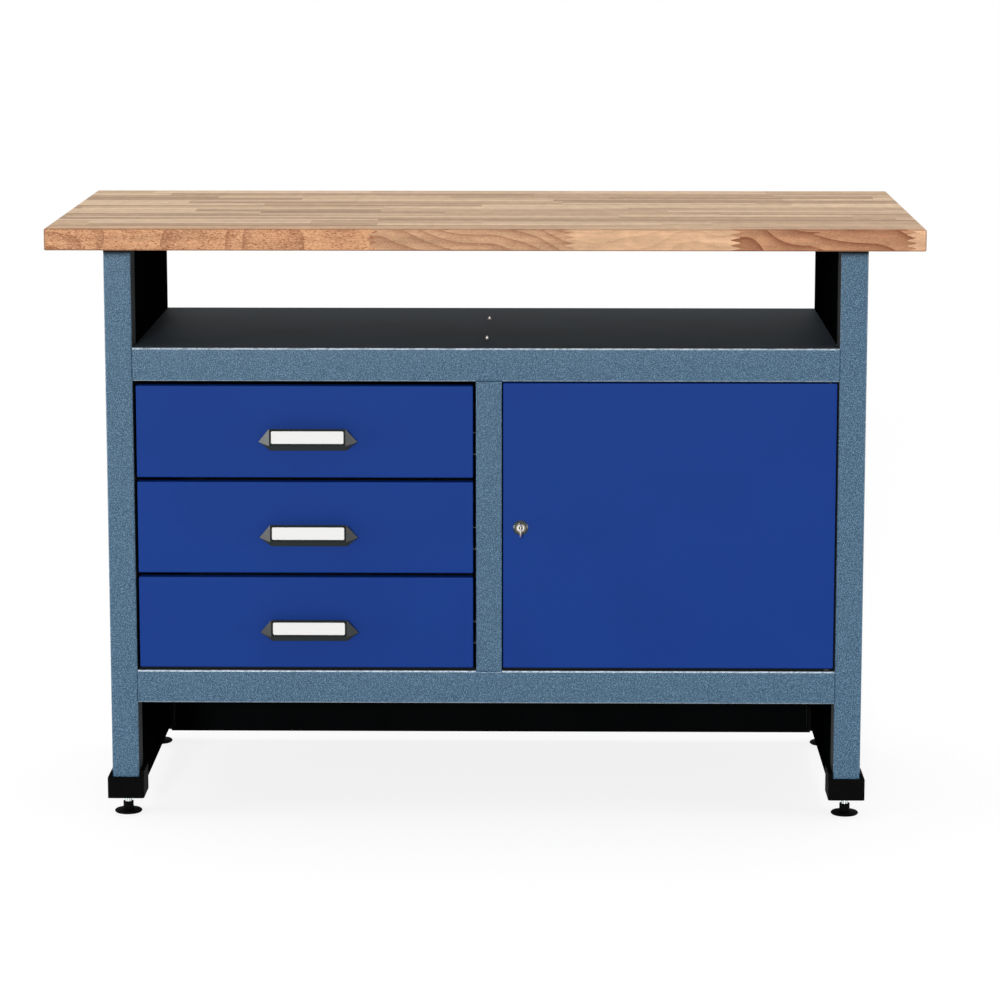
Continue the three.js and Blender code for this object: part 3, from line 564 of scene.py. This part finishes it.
def dress_nodes():
    """Gives each CAD node its finish and shades its rounds smooth, with its flat faces kept flat."""
    group = smooth_rounds()
    for subpart in frame["record"]["subparts"]:
        name = subpart["node"]
        node = frame["nodes"][name]
        node.data.materials.clear()
        node.data.materials.append(NODE_FINISHES.get(name) or FINISHES[subpart["material_slot"]])
        node.modifiers.new("smooth_rounds", "NODES").node_group = group
        flat = node.modifiers.new("flat_faces", "WEIGHTED_NORMAL")
        flat.keep_sharp = True


dress_nodes()


# Small fasteners

def add_dome(shape, foot, direction, size):
    """Adds a dome head with a shallow flange to a mesh, standing on the point foot."""
    radius, height = size
    profile = [(radius * 1.25, 0.0), (radius * 1.25, height * 0.16), (radius, height * 0.2)]
    arc_steps = 6
    for step in range(1, arc_steps + 1):
        angle = step / arc_steps * math.pi / 2
        profile.append((radius * math.cos(angle), height * (0.2 + 0.8 * math.sin(angle))))
    head = bmesh.new()
    points = [head.verts.new((distance, 0, level)) for distance, level in profile]
    edges = [head.edges.new(pair) for pair in zip(points, points[1:])]
    bmesh.ops.spin(head, geom=points + edges, axis=(0, 0, 1), steps=24, angle=2 * math.pi)
    bmesh.ops.remove_doubles(head, verts=head.verts, dist=radius / 1000)
    bmesh.ops.holes_fill(head, edges=head.edges)
    bmesh.ops.recalc_face_normals(head, faces=head.faces)
    turn = Vector((0, 0, 1)).rotation_difference(Vector(direction)).to_matrix().to_4x4()
    head.transform(Matrix.Translation(foot) @ turn)
    part = bpy.data.meshes.new("head")
    head.to_mesh(part)
    head.free()
    shape.from_mesh(part)
    bpy.data.meshes.remove(part)


def add_fasteners(name, feet, direction_of, size, body, slot="galvanised"):
    """One piece of dome heads, one on each foot."""
    shape = bmesh.new()
    for foot in feet:
        add_dome(shape, foot, direction_of(foot), size)
    mesh = bpy.data.meshes.new(name)
    shape.to_mesh(mesh)
    shape.free()
    mesh.shade_smooth()
    mesh.materials.append(FINISHES[slot])
    piece = bpy.data.objects.new(name, mesh)
    bpy.context.scene.collection.objects.link(piece)
    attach(piece, body)


def add_tray_screws():
    tray_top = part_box("tool_tray")[1].z
    feet = [Vector((TRAY_SCREW_X, y, tray_top)) for y in TRAY_SCREW_Y]
    add_fasteners("tray_screws", feet, lambda foot: (0, 0, 1), TRAY_SCREW_SIZE, "frame", "nickel")


def add_worktop_screws():
    for side in ("left", "right"):
        low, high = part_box(f"{side}_side_panel")
        feet = [Vector(((low.x + high.x) / 2, y, high.z - SIDE_SHEET)) for y in TOP_SCREW_Y]
        add_fasteners(f"worktop_screws_{side}", feet, lambda foot: (0, 0, -1), TOP_SCREW_SIZE, "frame")


def add_slide_rivets(number):
    """Rivet heads inside a drawer, where its two slides are fixed to its walls."""
    left_low, left_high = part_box(f"drawer_slide_left_{number}")
    right_low, right_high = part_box(f"drawer_slide_right_{number}")
    middle_x = (left_high.x + right_low.x) / 2
    level = (left_low.z + left_high.z) / 2
    feet = []
    for share in RIVET_SHARES:
        y = left_low.y + share * (left_high.y - left_low.y)
        feet.append(Vector((left_high.x + DRAWER_SHEET, y, level)))
        feet.append(Vector((right_low.x - DRAWER_SHEET, y, level)))

    def inward(foot):
        return (1, 0, 0) if foot.x < middle_x else (-1, 0, 0)

    add_fasteners(f"slide_rivets_{number}", feet, inward, RIVET_SIZE, f"drawer_{number}")


add_tray_screws()
add_worktop_screws()
for drawer in (1, 2, 3):
    add_slide_rivets(drawer)


# Floor, light and camera

def seen_share(tree):
    """A socket that is 1 for what the camera or a reflection sees, and 0 for what only lights the bench."""
    path = tree.nodes.new("ShaderNodeLightPath")
    seen = path.outputs["Is Camera Ray"]
    for ray in ("Is Glossy Ray", "Is Transmission Ray"):
        either = tree.nodes.new("ShaderNodeMath")
        either.operation = "MAXIMUM"
        tree.links.new(seen, either.inputs[0])
        tree.links.new(path.outputs[ray], either.inputs[1])
        seen = either.outputs[0]
    return seen


def floor_material():
    """White floor: it keeps the bench's shadow, and fades into the white surroundings far from it."""
    material = bpy.data.materials.new("floor")
    material.use_nodes = True
    tree = material.node_tree
    tree.nodes.clear()
    new = tree.nodes.new
    link = tree.links.new
    output = new("ShaderNodeOutputMaterial")
    place = new("ShaderNodeTexCoord")
    distance = new("ShaderNodeVectorMath")
    distance.operation = "LENGTH"
    fade = new("ShaderNodeMapRange")
    fade.inputs["From Min"].default_value = FLOOR_FADE_START
    fade.inputs["From Max"].default_value = FLOOR_FADE_END
    paper = new("ShaderNodeBsdfDiffuse")
    paper.inputs["Color"].default_value = grey(FLOOR_PAPER)
    seen_paper = new("ShaderNodeBsdfDiffuse")
    seen_paper.inputs["Color"].default_value = grey(FLOOR_SEEN_PAPER)
    glow = new("ShaderNodeEmission")
    glow.inputs["Color"].default_value = grey(FLOOR_GLOW)
    seen = new("ShaderNodeAddShader")
    lit = new("ShaderNodeMixShader")
    clear = new("ShaderNodeBsdfTransparent")
    surface = new("ShaderNodeMixShader")
    link(place.outputs["Object"], distance.inputs[0])
    link(distance.outputs["Value"], fade.inputs["Value"])
    link(glow.outputs[0], seen.inputs[0])
    link(seen_paper.outputs[0], seen.inputs[1])
    link(seen_share(tree), lit.inputs[0])
    link(paper.outputs[0], lit.inputs[1])
    link(seen.outputs[0], lit.inputs[2])
    link(fade.outputs[0], surface.inputs[0])
    link(lit.outputs[0], surface.inputs[1])
    link(clear.outputs[0], surface.inputs[2])
    link(surface.outputs[0], output.inputs["Surface"])
    return material


def add_floor():
    shape = bmesh.new()
    bmesh.ops.create_circle(shape, cap_ends=True, segments=FLOOR_STEPS, radius=FLOOR_RADIUS)
    mesh = bpy.data.meshes.new("floor")
    shape.to_mesh(mesh)
    shape.free()
    mesh.materials.append(floor_material())
    floor = bpy.data.objects.new("floor", mesh)
    bpy.context.scene.collection.objects.link(floor)


def add_world():
    """White surroundings: full white to the camera and in reflections, a plain level as light."""
    world = bpy.data.worlds.new("studio")
    bpy.context.scene.world = world
    world.use_nodes = True
    tree = world.node_tree
    background = tree.nodes["Background"]
    background.inputs["Color"].default_value = grey(1.0)
    level = tree.nodes.new("ShaderNodeMapRange")
    level.inputs["To Min"].default_value = AMBIENT_LEVEL
    level.inputs["To Max"].default_value = 1.0
    tree.links.new(seen_share(tree), level.inputs["Value"])
    tree.links.new(level.outputs[0], background.inputs["Strength"])


def add_sun(name, energy, elevation, from_left, softness):
    lamp = bpy.data.lights.new(name, "SUN")
    lamp.energy = energy
    lamp.angle = math.radians(softness)
    sun = bpy.data.objects.new(name, lamp)
    turn = Matrix.Rotation(math.radians(-from_left), 4, "Z")
    tip = Matrix.Rotation(math.radians(90 - elevation), 4, "X")
    sun.matrix_world = turn @ tip
    bpy.context.scene.collection.objects.link(sun)


def add_softbox(name, place, power):
    """A square lamp beyond one end of the bench, which faces along the bench."""
    lamp = bpy.data.lights.new(name, "AREA")
    lamp.size = SOFTBOX_SIZE
    lamp.energy = power
    softbox = bpy.data.objects.new(name, lamp)
    softbox.location = place
    softbox.rotation_euler = (0, math.copysign(math.pi / 2, place[0]), 0)
    softbox.visible_camera = False
    bpy.context.scene.collection.objects.link(softbox)


def add_camera():
    lens = bpy.data.cameras.new("camera")
    lens.lens = CAMERA_LENS
    lens.sensor_width = SENSOR_WIDTH
    camera = bpy.data.objects.new("camera", lens)
    camera.location = CAMERA_PLACE
    camera.rotation_euler = (math.radians(90 - CAMERA_PITCH_DOWN), 0, math.radians(CAMERA_YAW_LEFT))
    bpy.context.scene.collection.objects.link(camera)
    bpy.context.scene.camera = camera


add_floor()
add_world()
add_sun("key", KEY_ENERGY, KEY_ELEVATION, KEY_FROM_LEFT, KEY_SOFTNESS)
add_sun("top", TOP_ENERGY, TOP_ELEVATION, 0.0, TOP_SOFTNESS)
add_softbox("left_softbox", LEFT_SOFTBOX_PLACE, LEFT_SOFTBOX_POWER)
add_softbox("right_softbox", RIGHT_SOFTBOX_PLACE, RIGHT_SOFTBOX_POWER)
add_camera()
bpy.context.scene.view_settings.view_transform = "Standard"
